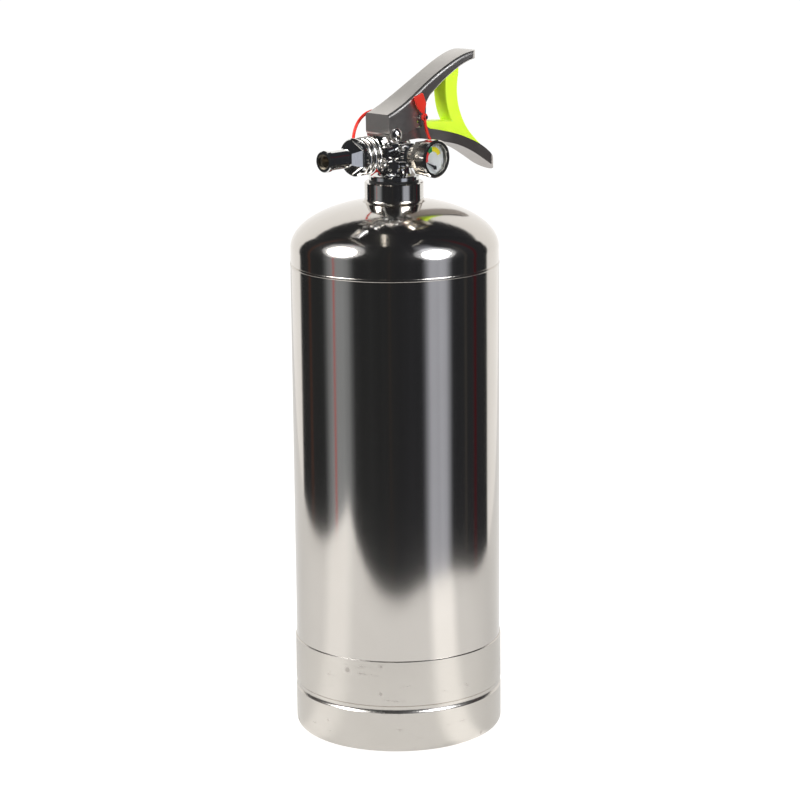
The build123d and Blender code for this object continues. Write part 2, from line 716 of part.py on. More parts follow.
# ---------------------------------------------------------------- gauge
barrel_r = 11.2
bezel_back = gauge_front + 4.2
hex_front = gauge_back - 4.0
dial_y = gauge_front + 3.6
lens_y = gauge_front + 1.1

with BuildPart() as gauge_case:
    with BuildSketch(Plane.YZ):
        with BuildLine():
            Polyline(
                (hex_front, gauge_z), (hex_front, gauge_z + barrel_r - 0.6), (hex_front - 0.6, gauge_z + barrel_r),
                (bezel_back + 0.1, gauge_z + barrel_r), (bezel_back + 0.1, gauge_z + 10.3),
                (dial_y + 1.0, gauge_z + 10.3), (dial_y + 1.0, gauge_z + 9.6), (hex_front - 1.2, gauge_z + 9.6),
                (hex_front - 1.2, gauge_z), close=True,
            )
        make_face()
    revolve(axis=axis_y(gauge_z))
    with BuildSketch(Plane.XZ.offset(-gauge_back)):
        with Locations((0, gauge_z)):
            RegularPolygon(radius=11.4, side_count=6, rotation=0)
    extrude(amount=gauge_back - hex_front)
    # neck and threaded stem into the valve boss
    with BuildSketch(Plane.XZ.offset(-(gauge_boss_end - 1.1))):
        with Locations((0, gauge_z)):
            Circle(6.4)
    extrude(amount=gauge_boss_end - 1.1 - gauge_back)
    with BuildSketch(Plane.XZ.offset(-(gauge_boss_end + 6.5))):
        with Locations((0, gauge_z)):
            Circle(3.95)
    extrude(amount=7.7)
    with BuildSketch(Plane.XZ.offset(-(gauge_boss_end + 6.5))):
        with Locations((0, gauge_z)):
            Circle(1.0)
    extrude(amount=16.0, mode=Mode.SUBTRACT)
save(gauge_case.part, "gauge_case")

with BuildPart() as gauge_seal:
    with BuildSketch(Plane.XZ.offset(-gauge_boss_end)):
        with Locations((0, gauge_z)):
            Circle(6.2)
            Circle(4.0, mode=Mode.SUBTRACT)
    extrude(amount=1.05)
save(gauge_seal.part, "gauge_seal")

with BuildPart() as gauge_bezel:
    with BuildSketch(Plane.YZ):
        with BuildLine():
            Polyline(
                (gauge_front, gauge_z + 9.5), (gauge_front, gauge_z + gauge_r - 0.7),
                (gauge_front + 0.7, gauge_z + gauge_r), (bezel_back - 0.3, gauge_z + gauge_r),
                (bezel_back, gauge_z + gauge_r - 0.3), (bezel_back, gauge_z + 10.35),
                (lens_y, gauge_z + 10.35), (lens_y, gauge_z + 9.2), (gauge_front + 0.5, gauge_z + 9.2), close=True,
            )
        make_face()
    revolve(axis=axis_y(gauge_z))
save(gauge_bezel.part, "gauge_bezel")

with BuildPart() as gauge_lens:
    with BuildSketch(Plane.XZ.offset(-(lens_y + 1.05))):
        with Locations((0, gauge_z)):
            Circle(10.3)
    extrude(amount=1.0)
save(gauge_lens.part, "gauge_lens")

hub_x = 1.2
hub_z = gauge_z - 5.6
with BuildPart() as gauge_dial:
    with BuildSketch(Plane.XZ.offset(-(dial_y + 0.9))):
        with Locations((0, gauge_z)):
            Circle(10.2)
        with Locations((hub_x, hub_z)):
            Circle(0.62, mode=Mode.SUBTRACT)
    extrude(amount=0.5)
save(gauge_dial.part, "gauge_dial")

pointer_y = dial_y - 0.1
with BuildPart() as gauge_pointer:
    with BuildSketch(Plane.XZ.offset(-pointer_y)):
        with BuildLine():
            Polyline(
                (hub_x + 1.6, hub_z - 1.55), (hub_x + 0.55, hub_z + 0.85), (hub_x - 8.2, hub_z + 4.2),
                (hub_x - 0.75, hub_z - 0.45), close=True,
            )
        make_face()
        with Locations((hub_x, hub_z)):
            Circle(1.25)
    extrude(amount=0.4)
    with BuildSketch(Plane.XZ.offset(-(dial_y + 3.2))):
        with Locations((hub_x, hub_z)):
            Circle(0.55)
    extrude(amount=dial_y + 3.2 - pointer_y + 0.9)
save(gauge_pointer.part, "gauge_pointer")

with BuildPart() as gauge_spring_tube:
    with BuildSketch(Plane.XZ.offset(-(dial_y + 2.9))):
        with Locations((0, gauge_z)):
            Circle(7.6)
            Circle(7.0, mode=Mode.SUBTRACT)
    extrude(amount=1.4)
save(gauge_spring_tube.part, "gauge_spring_tube")
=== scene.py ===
import json
import math

import bmesh
import bpy
from mathutils import Matrix, Vector


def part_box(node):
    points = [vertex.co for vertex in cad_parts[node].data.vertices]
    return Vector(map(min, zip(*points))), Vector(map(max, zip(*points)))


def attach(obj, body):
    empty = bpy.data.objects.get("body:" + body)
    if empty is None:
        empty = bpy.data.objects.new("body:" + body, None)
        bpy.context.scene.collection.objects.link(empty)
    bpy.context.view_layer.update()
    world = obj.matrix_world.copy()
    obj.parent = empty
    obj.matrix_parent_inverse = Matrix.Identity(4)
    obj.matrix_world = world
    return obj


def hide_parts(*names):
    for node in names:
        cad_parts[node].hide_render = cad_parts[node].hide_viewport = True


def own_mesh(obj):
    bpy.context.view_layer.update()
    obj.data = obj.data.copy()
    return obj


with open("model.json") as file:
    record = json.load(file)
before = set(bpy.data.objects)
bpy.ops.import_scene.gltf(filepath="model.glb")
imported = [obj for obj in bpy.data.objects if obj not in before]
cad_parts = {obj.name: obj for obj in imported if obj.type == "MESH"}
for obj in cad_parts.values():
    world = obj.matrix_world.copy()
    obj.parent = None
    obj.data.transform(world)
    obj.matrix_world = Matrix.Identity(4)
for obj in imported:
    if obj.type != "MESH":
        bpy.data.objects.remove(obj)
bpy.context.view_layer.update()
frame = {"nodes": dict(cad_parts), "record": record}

# A polished stainless fire extinguisher in a dark studio: white board behind, white table, two soft boxes.
# Studio directions: "right" and "away" are seen from the camera, which stands at azimuth -45 degrees.
VIEW_AZIMUTH = math.radians(-45.0)
RIGHT = Vector((math.cos(VIEW_AZIMUTH), math.sin(VIEW_AZIMUTH), 0.0))
AWAY = Vector((-math.sin(VIEW_AZIMUTH), math.cos(VIEW_AZIMUTH), 0.0))
UP = Vector((0.0, 0.0, 1.0))


def studio(right, away, up):
    """A point given along the studio's directions, in metres from the middle of the base."""
    return right * RIGHT + away * AWAY + up * UP


# ---------------------------------------------------------------- camera
CAMERA_PLACE = studio(0.0025, -1.7788, 0.6268)
CAMERA_PITCH = math.radians(13.14)
CAMERA_ROLL = math.radians(-0.532)
# lens and sensor width in millimetres
CAMERA_LENS = 130.4
CAMERA_SENSOR = 36.0


def make_camera():
    forward = math.cos(CAMERA_PITCH) * AWAY - math.sin(CAMERA_PITCH) * UP
    level_up = RIGHT.cross(forward)
    right = math.cos(CAMERA_ROLL) * RIGHT + math.sin(CAMERA_ROLL) * level_up
    up = math.cos(CAMERA_ROLL) * level_up - math.sin(CAMERA_ROLL) * RIGHT
    data = bpy.data.cameras.new("camera")
    data.lens = CAMERA_LENS
    data.sensor_width = CAMERA_SENSOR
    data.clip_start = 0.05
    data.clip_end = 50.0
    camera = bpy.data.objects.new("camera", data)
    turn = Matrix((right, up, -forward)).transposed().to_4x4()
    camera.matrix_world = Matrix.Translation(CAMERA_PLACE) @ turn
    bpy.context.scene.collection.objects.link(camera)
    bpy.context.scene.camera = camera


# ---------------------------------------------------------------- node graphs
class Graph:
    """Short calls for building a node tree."""

    def __init__(self, tree):
        self.tree = tree
        tree.nodes.clear()

    def node(self, kind, **settings):
        made = self.tree.nodes.new(kind)
        for key, value in settings.items():
            setattr(made, key, value)
        return made

    def feed(self, socket, value):
        if isinstance(value, bpy.types.NodeSocket):
            self.tree.links.new(value, socket)
        else:
            socket.default_value = value

    def math(self, operation, a, b=0.0, c=0.0):
        made = self.node("ShaderNodeMath", operation=operation)
        for socket, value in zip(made.inputs, (a, b, c)):
            self.feed(socket, value)
        return made.outputs[0]

    def step(self, value, low, high):
        """0 below low, 1 above high, smooth between."""
        made = self.node("ShaderNodeMapRange", interpolation_type="SMOOTHSTEP")
        self.feed(made.inputs["Value"], value)
        made.inputs["From Min"].default_value = low
        made.inputs["From Max"].default_value = high
        return made.outputs[0]

    def band(self, value, low, high, soft):
        """1 between low and high, falling to 0 over soft on both sides."""
        rise = self.step(value, low - soft, low + soft)
        fall = self.step(value, high - soft, high + soft)
        return self.math("SUBTRACT", rise, fall)

    def between(self, value, low, high):
        """value from 0..1 spread over low..high."""
        made = self.node("ShaderNodeMapRange")
        self.feed(made.inputs["Value"], value)
        made.inputs["To Min"].default_value = low
        made.inputs["To Max"].default_value = high
        return made.outputs[0]

    def mix(self, factor, a, b):
        made = self.node("ShaderNodeMix", data_type="RGBA")
        self.feed(made.inputs["Factor"], factor)
        for socket, value in zip([s for s in made.inputs if s.type == "RGBA"], (a, b)):
            self.feed(socket, value if isinstance(value, bpy.types.NodeSocket) else (*value, 1.0))
        return [s for s in made.outputs if s.type == "RGBA"][0]

    def split(self, vector):
        made = self.node("ShaderNodeSeparateXYZ")
        self.feed(made.inputs[0], vector)
        return made.outputs

    def join(self, x, y, z):
        made = self.node("ShaderNodeCombineXYZ")
        for socket, value in zip(made.inputs, (x, y, z)):
            self.feed(socket, value)
        return made.outputs[0]

    def stretch(self, vector, x, y, z):
        made = self.node("ShaderNodeVectorMath", operation="MULTIPLY")
        self.feed(made.inputs[0], vector)
        made.inputs[1].default_value = (x, y, z)
        return made.outputs[0]

    def scale(self, vector, factor):
        made = self.node("ShaderNodeVectorMath", operation="SCALE")
        self.feed(made.inputs[0], vector)
        self.feed(made.inputs["Scale"], factor)
        return made.outputs[0]

    def noise(self, vector, scale, detail=3.0, roughness=0.55):
        made = self.node("ShaderNodeTexNoise")
        self.feed(made.inputs["Vector"], vector)
        made.inputs["Scale"].default_value = scale
        made.inputs["Detail"].default_value = detail
        made.inputs["Roughness"].default_value = roughness
        return made.outputs[0]

    def cells(self, vector, scale):
        made = self.node("ShaderNodeTexVoronoi")
        self.feed(made.inputs["Vector"], vector)
        made.inputs["Scale"].default_value = scale
        return made.outputs["Distance"]


class Finish(Graph):
    """A material with one Principled shader."""

    def __init__(self, name):
        self.material = bpy.data.materials.new(name)
        self.material.use_nodes = True
        super().__init__(self.material.node_tree)
        self.surface = self.node("ShaderNodeBsdfPrincipled")
        output = self.node("ShaderNodeOutputMaterial")
        self.tree.links.new(self.surface.outputs[0], output.inputs[0])
        self.place = self.node("ShaderNodeTexCoord").outputs["Object"]

    def set(self, **values):
        for key, value in values.items():
            self.feed(self.surface.inputs[key.replace("_", " ")], value)

    def about(self, centre, axis):
        """(angle in turns, distance, place along) about an axis, for grain that runs round a part."""
        moved = self.node("ShaderNodeVectorMath", operation="SUBTRACT")
        self.feed(moved.inputs[0], self.place)
        moved.inputs[1].default_value = centre
        x, y, z = self.split(moved.outputs[0])
        across = {"X": (y, z, x), "Y": (z, x, y), "Z": (x, y, z)}[axis]
        angle = self.math("DIVIDE", self.math("ARCTAN2", across[1], across[0]), 2.0 * math.pi)
        distance = self.math("SQRT", self.math("MULTIPLY_ADD", across[0], across[0],
                                               self.math("MULTIPLY", across[1], across[1])))
        return angle, distance, across[2]

    def bump(self, *layers):
        """Layers of (height 0..1, depth in metres), added up."""
        normal = None
        for height, depth in layers:
            made = self.node("ShaderNodeBump")
            made.inputs["Strength"].default_value = 1.0
            made.inputs["Distance"].default_value = depth
            self.feed(made.inputs["Height"], height)
            if normal is not None:
                self.feed(made.inputs["Normal"], normal)
            normal = made.outputs[0]
        self.feed(self.surface.inputs["Normal"], normal)


# ---------------------------------------------------------------- studio
# Strengths are multiples of the white background. Angles are in degrees to the right of the camera's side.
DARK = 0.032
BOARD = 1.12
BOARD_LEFT = 128.0
BOARD_RIGHT = 121.0
BOARD_TOP = 1.0
BOARD_COLOUR = (1.0, 0.985, 0.965)
CAMERA_WHITE = 1.05
# the room beside each soft box glows over these angles
LEFT_BAND = (-80.0, -51.0)
RIGHT_BAND = (35.0, 61.0)
LEFT_GLOW = 0.33
RIGHT_GLOW = 0.60
# narrow upright things in the dark room: angle, half width in degrees, colour
ROOM_STRIPES = (
    (-71.0, 0.9, (0.60, 0.10, 0.09)),
    (99.0, 1.6, (0.085, 0.006, 0.010)),
    (-108.0, 1.6, (0.085, 0.040, 0.028)),
    (-6.0, 0.8, (0.050, 0.040, 0.034)),
    (84.0, 1.5, (0.060, 0.056, 0.052)),
)


def studio_angles(graph, vector):
    """For a direction: its angle in degrees to the right of the camera's side, and its near and up parts."""
    def along(direction):
        made = graph.node("ShaderNodeVectorMath", operation="DOT_PRODUCT")
        graph.feed(made.inputs[0], vector)
        made.inputs[1].default_value = direction
        return made.outputs["Value"]

    right = along(RIGHT)
    near = along(-AWAY)
    angle = graph.math("DEGREES", graph.math("ARCTAN2", right, near))
    return angle, near, along(UP)


def glow_bands(graph, angle):
    """Light that the soft boxes spread, as two upright bands."""
    left = graph.math("MULTIPLY", graph.band(angle, *LEFT_BAND, 8.0), LEFT_GLOW)
    right = graph.math("MULTIPLY", graph.band(angle, *RIGHT_BAND, 6.0), RIGHT_GLOW)
    return left, right


def make_world():
    world = bpy.data.worlds.new("studio")
    world.use_nodes = True
    bpy.context.scene.world = world
    g = Graph(world.node_tree)
    direction = g.node("ShaderNodeTexCoord").outputs["Generated"]
    angle, near, height = studio_angles(g, direction)
    board = g.math("MAXIMUM", g.step(angle, BOARD_RIGHT, BOARD_RIGHT + 2.5),
                   g.step(g.math("MULTIPLY", angle, -1.0), BOARD_LEFT - 1.0, BOARD_LEFT + 1.5))
    away = g.math("MAXIMUM", g.math("MULTIPLY", near, -1.0), 0.001)
    above = g.step(g.math("DIVIDE", height, away), BOARD_TOP, BOARD_TOP + 0.08)
    board = g.math("MULTIPLY", board, g.math("SUBTRACT", 1.0, above))
    stripes = g.noise(g.join(angle, 0.0, 0.0), 0.09, 4.0)
    dark = g.math("MULTIPLY", g.between(stripes, 0.45, 1.55), DARK)
    left, right = glow_bands(g, angle)
    fade = g.math("SUBTRACT", 1.0, g.step(height, 0.72, 0.95))
    streaks = g.between(g.noise(g.join(angle, 0.0, 0.0), 0.22, 3.0), 0.72, 1.28)
    glow = g.math("MULTIPLY", g.math("MULTIPLY", fade, streaks), g.math("ADD", left, right))
    room = g.mix(g.step(angle, -20.0, 20.0), (0.90, 0.95, 1.0), (0.84, 0.88, 1.0))
    room = g.scale(room, g.math("ADD", dark, glow))
    for place, half, paint in ROOM_STRIPES:
        line = g.math("MULTIPLY", fade, g.band(angle, place - half, place + half, 0.5))
        room = g.mix(line, room, paint)
    colour = g.mix(board, room, tuple(BOARD * channel for channel in BOARD_COLOUR))
    lit = g.node("ShaderNodeBackground")
    g.feed(lit.inputs["Color"], colour)
    white = g.node("ShaderNodeBackground")
    white.inputs["Color"].default_value = (1.0, 1.0, 1.0, 1.0)
    white.inputs["Strength"].default_value = CAMERA_WHITE
    pick = g.node("ShaderNodeMixShader")
    g.feed(pick.inputs[0], g.node("ShaderNodeLightPath").outputs["Is Camera Ray"])
    g.feed(pick.inputs[1], lit.outputs[0])
    g.feed(pick.inputs[2], white.outputs[0])
    output = g.node("ShaderNodeOutputWorld")
    g.feed(output.inputs[0], pick.outputs[0])


TABLE_LEFT = -0.522
TABLE_RIGHT = 0.425
TABLE_FRONT = -0.392
TABLE_BACK = 1.6
TABLE_DROP = 0.0001
WIDE_CORNER = 0.33
TIGHT_CORNER = 0.05
CORNER_STEPS = 24
# how brightly the table glows: evenly, then painted bands of soft-box light on top, and evenly for camera rays
TABLE_LIGHT = 0.60
TABLE_PAINTED_GLOW = 0.72
TABLE_CAMERA_LIGHT = 0.93


def make_table():
    """The table top: a flat sheet with one wide and one tight front corner."""
    corners = [(TABLE_RIGHT, TABLE_FRONT, WIDE_CORNER), (TABLE_LEFT, TABLE_FRONT, TIGHT_CORNER)]
    points = [(TABLE_RIGHT, TABLE_BACK)]
    for x, y, radius in corners:
        side = 1.0 if x > 0 else -1.0
        for i in range(CORNER_STEPS + 1):
            turn = math.radians(90.0 * i / CORNER_STEPS)
            if side > 0:
                points.append((x - radius + radius * math.cos(turn), y + radius - radius * math.sin(turn)))
            else:
                points.append((x + radius - radius * math.sin(turn), y + radius - radius * math.cos(turn)))
    points.append((TABLE_LEFT, TABLE_BACK))
    mesh = bpy.data.meshes.new("table")
    outline = [studio(x, y, -TABLE_DROP) for x, y in points]
    mesh.from_pydata(outline, [], [tuple(reversed(range(len(outline))))])
    table = bpy.data.objects.new("table", mesh)
    bpy.context.scene.collection.objects.link(table)
    f = Finish("table_paper")
    angle = studio_angles(f, f.place)[0]
    left, right = glow_bands(f, angle)
    grain = f.noise(f.place, 900.0, 2.0)
    f.set(Base_Color=f.mix(grain, (0.30, 0.30, 0.30), (0.34, 0.34, 0.34)), Roughness=0.9)
    f.surface.inputs["Specular IOR Level"].default_value = 0.0
    # painted light: the table's emission carries bands of soft-box glow on top of its even brightness
    soft = f.math("ADD", TABLE_LIGHT, f.math("MULTIPLY", TABLE_PAINTED_GLOW, f.math("ADD", left, right)))
    camera_ray = f.node("ShaderNodeLightPath").outputs["Is Camera Ray"]
    shown = f.math("MAXIMUM", soft, f.math("MULTIPLY", TABLE_CAMERA_LIGHT, camera_ray))
    f.surface.inputs["Emission Color"].default_value = (1.0, 0.985, 0.96, 1.0)
    f.set(Emission_Strength=shown)
    f.bump((grain, 0.00003))
    mesh.materials.append(f.material)


SHOULDER = Vector((0.0, 0.0, 0.31))
# name, angle to the right, height angle, distance, width, height, radiance, colour
SOFT_BOXES = (
    ("left_box", -66.0, 30.0, 1.5, 0.84, 0.92, 9.5, (1.0, 1.0, 1.0)),
    ("right_box", 49.0, 25.0, 1.5, 0.80, 0.92, 9.5, (0.94, 0.96, 1.0)),
    ("left_halo", -66.0, 32.0, 1.6, 1.35, 1.45, 0.45, (0.95, 0.97, 1.0)),
    ("right_halo", 49.0, 27.0, 1.6, 1.30, 1.45, 0.45, (0.90, 0.94, 1.0)),
)
# where each tube starts and ends, as angle to the right and height angle, then its width
CEILING_TUBES = (
    ((-150.0, 79.0), (-19.0, 66.0), 0.05),
    ((-112.0, 61.0), (-53.0, 59.0), 0.012),
    ((80.0, 71.0), (39.0, 65.0), 0.012),
)
CEILING = 1.9
TUBE_RADIANCE = 2.2
TUBE_COLOUR = (1.0, 0.95, 0.85)


def toward(angle, height, distance):
    """The point at a distance from the shoulder, at an angle to the right and a height angle in degrees."""
    a, h = math.radians(angle), math.radians(height)
    level = math.sin(a) * RIGHT - math.cos(a) * AWAY
    return SHOULDER + distance * (math.cos(h) * level + math.sin(h) * UP)


def area_light(name, shape, place, width, height, radiance, colour):
    """An area light that the camera doesn't see."""
    data = bpy.data.lights.new(name, "AREA")
    data.shape = shape
    data.size = width
    data.size_y = height
    data.energy = radiance * math.pi * width * height
    data.color = colour
    light = bpy.data.objects.new(name, data)
    light.location = place
    light.visible_camera = False
    bpy.context.scene.collection.objects.link(light)
    return light


def make_soft_boxes():
    for name, angle, lift, distance, width, height, radiance, colour in SOFT_BOXES:
        place = toward(angle, lift, distance)
        box = area_light(name, "ELLIPSE", place, width, height, radiance, colour)
        box.rotation_euler = (place - SHOULDER).to_track_quat("Z", "Y").to_euler()


def make_ceiling_tubes():
    for number, (start, end, width) in enumerate(CEILING_TUBES):
        a = toward(*start, CEILING / math.sin(math.radians(start[1])))
        b = toward(*end, CEILING / math.sin(math.radians(end[1])))
        name = "ceiling_tube_%d" % number
        tube = area_light(name, "RECTANGLE", (a + b) / 2.0, width, (b - a).length, TUBE_RADIANCE, TUBE_COLOUR)
        run = (b - a).normalized()
        side = run.cross(UP).normalized()
        tube.rotation_euler = Matrix((side, run, side.cross(run))).transposed().to_euler()


# ---------------------------------------------------------------- metals
ROUGHNESS_SPREAD = 0.2


def metal(name, colour, shade, roughness, grain, grain_depth=0.0, waves=None, axis=None,
          centre=(0.0, 0.0, 0.0)):
    """Metal with tone, roughness and grain that vary over the part. grain is how often it repeats per metre
    along X, Y and Z, or per turn round an axis and per metre outwards and along it. waves has the same three
    numbers and then a depth."""
    f = Finish(name)
    base = f.place
    if axis:
        base = f.join(*f.about(centre, axis))
    lines = f.noise(f.stretch(base, *grain), 1.0, 4.0, 0.6)
    clouds = f.noise(f.place, 38.0, 4.0)
    tone = f.math("MULTIPLY_ADD", lines, 0.5, f.math("MULTIPLY", clouds, 0.5))
    rough, smooth = roughness * (1.0 + ROUGHNESS_SPREAD), roughness * (1.0 - ROUGHNESS_SPREAD)
    f.set(Base_Color=f.mix(f.step(tone, 0.25, 0.75), shade, colour), Metallic=1.0,
          Roughness=f.between(tone, rough, smooth))
    layers = []
    if waves:
        layers.append((f.noise(f.stretch(base, *waves[:3]), 1.0, 1.0), waves[3]))
    if grain_depth:
        layers.append((lines, grain_depth))
    if layers:
        f.bump(*layers)
    return f


def body_steel():
    """Polished tube and dome: nearly a mirror, rolled sheet with faint upright facets and fine rings."""
    f = Finish("polished_steel")
    angle, _, up = f.about((0.0, 0.0, 0.0), "Z")
    rings = f.noise(f.join(f.math("MULTIPLY", angle, 6.0), 0.0, f.math("MULTIPLY", up, 1800.0)), 1.0, 3.0)
    facets = f.noise(f.join(f.math("MULTIPLY", angle, 46.0), 0.0, f.math("MULTIPLY", up, 3.0)), 1.0, 2.0)
    clouds = f.noise(f.place, 22.0, 5.0, 0.6)
    fine = f.join(f.math("MULTIPLY", angle, 40.0), 0.0, f.math("MULTIPLY", up, 2600.0))
    scratches = f.noise(fine, 1.0, 5.0, 0.7)
    marks = f.step(scratches, 0.64, 0.74)
    f.set(
        Base_Color=f.mix(clouds, (0.56, 0.53, 0.49), (0.62, 0.59, 0.555)),
        Metallic=1.0,
        Roughness=f.math("ADD", f.between(clouds, 0.14, 0.09), f.math("MULTIPLY", marks, 0.08)),
    )
    f.bump((facets, 0.000030), (rings, 0.0000016))
    return f


def base_steel():
    """Satin foot cup: brushed round, with a few scuffs and pits."""
    f = Finish("satin_steel")
    angle, _, up = f.about((0.0, 0.0, 0.0), "Z")
    round_grain = f.join(f.math("MULTIPLY", angle, 14.0), 0.0, f.math("MULTIPLY", up, 1500.0))
    brushed = f.noise(round_grain, 1.0, 4.0, 0.65)
    clouds = f.noise(f.place, 30.0, 5.0, 0.6)
    scuffs = f.step(f.noise(f.stretch(f.place, 60.0, 60.0, 220.0), 1.0, 5.0, 0.65), 0.60, 0.72)
    pits = f.math("SUBTRACT", 1.0, f.step(f.cells(f.place, 46.0), 0.05, 0.10))
    wear = f.math("MAXIMUM", f.math("MULTIPLY", scuffs, 0.5), pits)
    bright = f.mix(clouds, (0.555, 0.525, 0.48), (0.62, 0.59, 0.55))
    f.set(
        Base_Color=f.mix(f.math("MULTIPLY", wear, 0.6), bright, (0.36, 0.33, 0.30)),
        Metallic=1.0,
        Roughness=f.math("ADD", f.between(brushed, 0.20, 0.27), f.math("MULTIPLY", wear, 0.12)),
    )
    f.bump((brushed, 0.0000022), (pits, 0.00002))
    return f


def sheet_steel(name, colour, shade, roughness):
    """Pressed sheet, brushed along the levers."""
    f = Finish(name)
    brushed = f.noise(f.stretch(f.place, 90.0, 1700.0, 1700.0), 1.0, 4.0, 0.6)
    clouds = f.noise(f.place, 60.0, 5.0, 0.6)
    worn = f.step(f.noise(f.place, 240.0, 4.0, 0.7), 0.60, 0.70)
    f.set(
        Base_Color=f.mix(f.math("MULTIPLY", worn, 0.25), f.mix(clouds, shade, colour), (0.75, 0.73, 0.70)),
        Metallic=1.0,
        Roughness=f.math("MULTIPLY", f.between(brushed, 0.85, 1.2),
                         f.between(clouds, roughness * 1.15, roughness * 0.85)),
    )
    f.bump((brushed, 0.000004), (clouds, 0.00003))
    return f


def weld_steel():
    """Ground and polished weld bead, close to the body's own colour."""
    f = metal("weld_bead", (0.62, 0.585, 0.54), (0.50, 0.465, 0.42), 0.15, (240.0, 60.0, 900.0), axis="Z")
    ripples = f.cells(f.place, 700.0)
    f.bump((ripples, 0.000012))
    return f


# ---------------------------------------------------------------- plastics, rubber, paint
def plastic(name, colour, shade, roughness, grain=600.0, depth=0.00001, coat=0.0):
    """Moulded plastic: slight tone drift, fine texture, shine that varies."""
    f = Finish(name)
    clouds = f.noise(f.place, 55.0, 4.0)
    texture = f.noise(f.place, grain * 3.0, 3.0)
    f.set(Base_Color=f.mix(f.step(clouds, 0.3, 0.7), shade, colour),
          Roughness=f.between(f.noise(f.place, 160.0, 4.0), roughness * 0.85, roughness * 1.2))
    f.surface.inputs["Coat Weight"].default_value = coat
    f.surface.inputs["Coat Roughness"].default_value = 0.08
    f.bump((texture, depth))
    return f


def insert_plastic():
    """Fluorescent yellow-green moulding: light soaks in a little, and a faint painted glow (emission) lights
    it evenly all over.
    """
    f = plastic("fluorescent_plastic_painted_glow", (0.62, 0.84, 0.04), (0.56, 0.78, 0.035), 0.34, 500.0, 0.000012)
    f.surface.inputs["Subsurface Weight"].default_value = 0.25
    f.surface.inputs["Subsurface Radius"].default_value = (0.003, 0.004, 0.0005)
    f.surface.inputs["Subsurface Scale"].default_value = 1.0
    # painted glow: a faint yellow-green emission all over, though the moulding is no lamp
    f.surface.inputs["Emission Color"].default_value = (0.66, 0.90, 0.03, 1.0)
    f.surface.inputs["Emission Strength"].default_value = 0.14
    return f


def lens_glass():
    f = Finish("clear_lens")
    smears = f.noise(f.place, 180.0, 4.0)
    f.set(Base_Color=(0.97, 0.98, 0.98, 1.0), Roughness=f.between(smears, 0.01, 0.05))
    f.surface.inputs["Transmission Weight"].default_value = 1.0
    f.surface.inputs["IOR"].default_value = 1.46
    f.bump((smears, 0.000002))
    return f


DIAL_ARCS = (
    # start and end in degrees round from +X, counter-clockwise, then the colour
    (20.0, 95.0, (0.93, 0.76, 0.01)),
    (95.0, 135.0, (0.01, 0.24, 0.06)),
    (135.0, 200.0, (0.80, 0.03, 0.02)),
)


def dial_print(centre):
    """White dial with three coloured arcs and short tick marks."""
    f = Finish("dial_print")
    angle, distance, _ = f.about(centre, "Y")
    degrees = f.math("MULTIPLY", angle, 360.0)
    # about() turns from Z to X; the arcs are counted from X to Z as seen from the front
    turned = f.math("WRAP", f.math("SUBTRACT", 90.0, degrees), 360.0, 0.0)
    paper = f.noise(f.place, 700.0, 3.0)
    colour = f.mix(paper, (0.80, 0.80, 0.77), (0.88, 0.88, 0.86))
    ring = f.band(distance, 0.0042, 0.0072, 0.00006)
    for start, end, paint in DIAL_ARCS:
        colour = f.mix(f.math("MULTIPLY", ring, f.band(turned, start, end, 0.6)), colour, paint)
    tick_phase = f.math("ABSOLUTE", f.math("SUBTRACT", f.math("FRACT", f.math("DIVIDE", turned, 15.0)), 0.5))
    ticks = f.math("MULTIPLY", f.step(tick_phase, 0.455, 0.475), f.band(distance, 0.0072, 0.0082, 0.00005))
    ticks = f.math("MULTIPLY", ticks, f.band(turned, 20.0, 200.0, 0.5))
    colour = f.mix(ticks, colour, (0.04, 0.04, 0.04))
    f.set(Base_Color=colour, Roughness=f.between(paper, 0.35, 0.5))
    f.bump((paper, 0.000004))
    return f


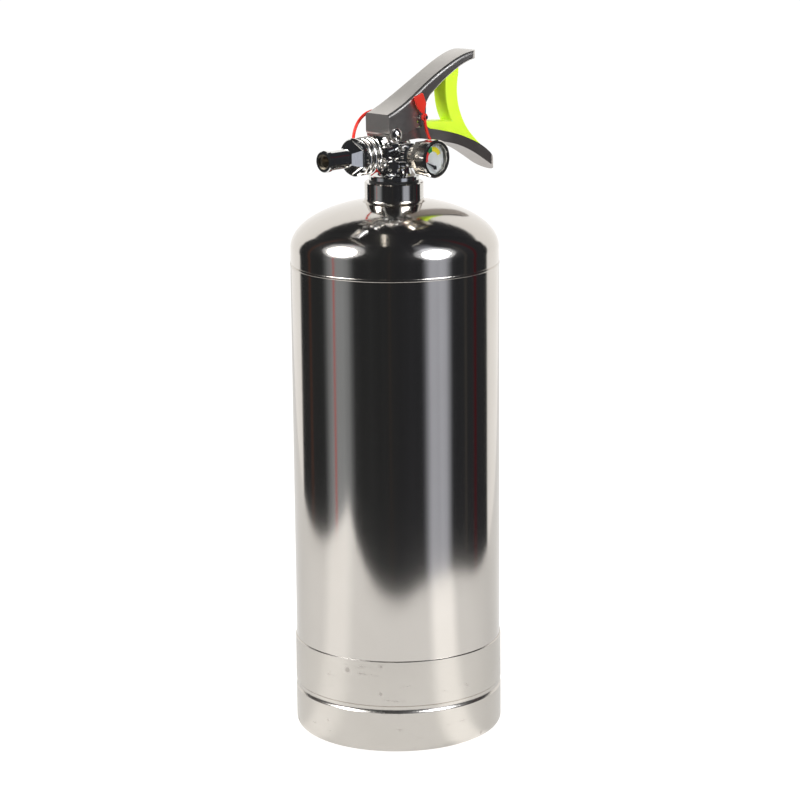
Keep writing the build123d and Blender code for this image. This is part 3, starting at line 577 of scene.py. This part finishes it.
def make_finishes():
    gauge_low, gauge_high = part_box("gauge_dial")
    dial_centre = (gauge_low + gauge_high) / 2.0
    chrome = (0.80, 0.80, 0.79)
    chrome_shade = (0.62, 0.62, 0.61)
    nozzle_low, nozzle_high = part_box("nozzle_tube")
    nozzle_axis = (nozzle_low + nozzle_high) / 2.0
    turned = (9.0, 0.0, 1500.0)
    return {
        "body_steel": body_steel(),
        "weld_steel": weld_steel(),
        "base_steel": base_steel(),
        "neck_steel": metal("turned_steel", (0.66, 0.64, 0.61), (0.56, 0.54, 0.51), 0.10, turned,
                            0.000002, axis="Z"),
        "seal_rubber": plastic("black_rubber", (0.025, 0.025, 0.025), (0.015, 0.015, 0.015), 0.6, 900.0,
                               0.00002),
        "valve_chrome": metal("chromed_casting", chrome, chrome_shade, 0.085, (160.0, 160.0, 160.0), 0.000004,
                              waves=(90.0, 90.0, 90.0, 0.000022)),
        "stem_brass": metal("turned_brass", (0.80, 0.58, 0.28), (0.62, 0.42, 0.18), 0.22, turned,
                            0.000003, axis="Z"),
        "spring_steel": metal("spring_wire", (0.60, 0.60, 0.60), (0.42, 0.42, 0.42), 0.25,
                              (900.0, 900.0, 300.0), 0.000002),
        "siphon_plastic": plastic("natural_plastic", (0.80, 0.80, 0.77), (0.72, 0.72, 0.68), 0.4),
        "lever_steel": sheet_steel("lever_sheet", (0.62, 0.60, 0.57), (0.53, 0.51, 0.48), 0.30),
        "handle_steel": sheet_steel("handle_sheet", (0.50, 0.465, 0.44), (0.41, 0.375, 0.35), 0.30),
        "rivet_steel": metal("rivet_head", (0.74, 0.73, 0.71), (0.60, 0.59, 0.57), 0.16,
                             (400.0, 400.0, 400.0), 0.000004),
        "washer_steel": metal("plain_washer", (0.58, 0.57, 0.56), (0.42, 0.41, 0.40), 0.30,
                              (500.0, 500.0, 500.0), 0.000005),
        "pin_steel": metal("pin_wire", (0.72, 0.72, 0.71), (0.55, 0.55, 0.54), 0.16,
                           (300.0, 1800.0, 300.0), 0.000003),
        "ring_red": plastic("red_coating", (0.95, 0.022, 0.002), (0.86, 0.016, 0.002), 0.42, 300.0, 0.00001),
        "seal_red": plastic("red_moulding", (0.72, 0.035, 0.018), (0.62, 0.028, 0.014), 0.32, 400.0, 0.00001),
        "insert_plastic": insert_plastic(),
        "nozzle_chrome": metal("chromed_nozzle", chrome, chrome_shade, 0.09, turned, 0.0000015, axis="X",
                               centre=nozzle_axis),
        "nozzle_dark": metal("darkened_brass", (0.20, 0.17, 0.13), (0.10, 0.09, 0.07), 0.4, turned, 0.00001,
                             axis="X", centre=nozzle_axis),
        "coil_chrome": metal("bright_wire", (0.80, 0.79, 0.76), (0.62, 0.60, 0.57), 0.13,
                             (700.0, 700.0, 700.0), 0.000003),
        "gauge_chrome": metal("nickel_case", (0.66, 0.62, 0.55), (0.50, 0.46, 0.39), 0.17, turned, 0.000002,
                              axis="Y", centre=dial_centre),
        "bezel_chrome": metal("nickel_bezel", (0.74, 0.71, 0.66), (0.60, 0.56, 0.50), 0.13, turned, 0.0000015,
                              axis="Y", centre=dial_centre),
        "gauge_glass": lens_glass(),
        "gauge_dial": dial_print(dial_centre),
        "gauge_pointer": plastic("pointer_paint", (0.012, 0.012, 0.012), (0.02, 0.02, 0.02), 0.35),
    }


def dress(node, finish):
    mesh = frame["nodes"][node].data
    if not mesh.materials:
        mesh.materials.append(finish.material)
    for slot in range(len(mesh.materials)):
        mesh.materials[slot] = finish.material


SOFT_EDGES = (("grip_insert", 0.0007), ("seal_tag", 0.0003))
SHARP_ANGLE = math.radians(35.0)
SHADING_ANGLE = math.radians(30.0)
FLAT_ANGLE = math.radians(1.0)
WELD_DISTANCE = 0.00001


def softened(node, name, finish, body, width):
    """A copy of a CAD node with its sharp edges rounded, which stands for the node and moves with the body."""
    work = bmesh.new()
    work.from_mesh(frame["nodes"][node].data)
    bmesh.ops.remove_doubles(work, verts=work.verts, dist=WELD_DISTANCE)
    bmesh.ops.dissolve_limit(work, angle_limit=FLAT_ANGLE, verts=work.verts, edges=work.edges)
    folded = [e for e in work.edges if len(e.link_faces) == 2]
    sharp = [e for e in folded if e.calc_face_angle() > SHARP_ANGLE]
    bmesh.ops.bevel(work, geom=sharp, offset=width, segments=3, profile=0.5, affect="EDGES",
                    clamp_overlap=True)
    mesh = bpy.data.meshes.new(name)
    work.to_mesh(mesh)
    work.free()
    mesh.polygons.foreach_set("use_smooth", [True] * len(mesh.polygons))
    mesh.set_sharp_from_angle(angle=SHADING_ANGLE)
    mesh.materials.append(finish.material)
    piece = bpy.data.objects.new(name, mesh)
    bpy.context.scene.collection.objects.link(piece)
    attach(piece, body)
    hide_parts(node)
    return piece


def main():
    make_camera()
    make_world()
    make_table()
    make_soft_boxes()
    make_ceiling_tubes()
    finishes = make_finishes()
    slots = {part["node"]: part["material_slot"] for part in frame["record"]["subparts"]}
    for node, slot in slots.items():
        dress(node, finishes[slot])
    bodies = {node: body for body, nodes in frame["record"]["behaviour"]["bodies"].items() for node in nodes}
    pieces = {}
    for node, width in SOFT_EDGES:
        slot = slots[node]
        pieces[node] = softened(node, node + "_moulding", finishes[slot], bodies[node], width)
    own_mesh(pieces["grip_insert"])


bpy.context.scene.view_settings.view_transform = "Standard"
main()
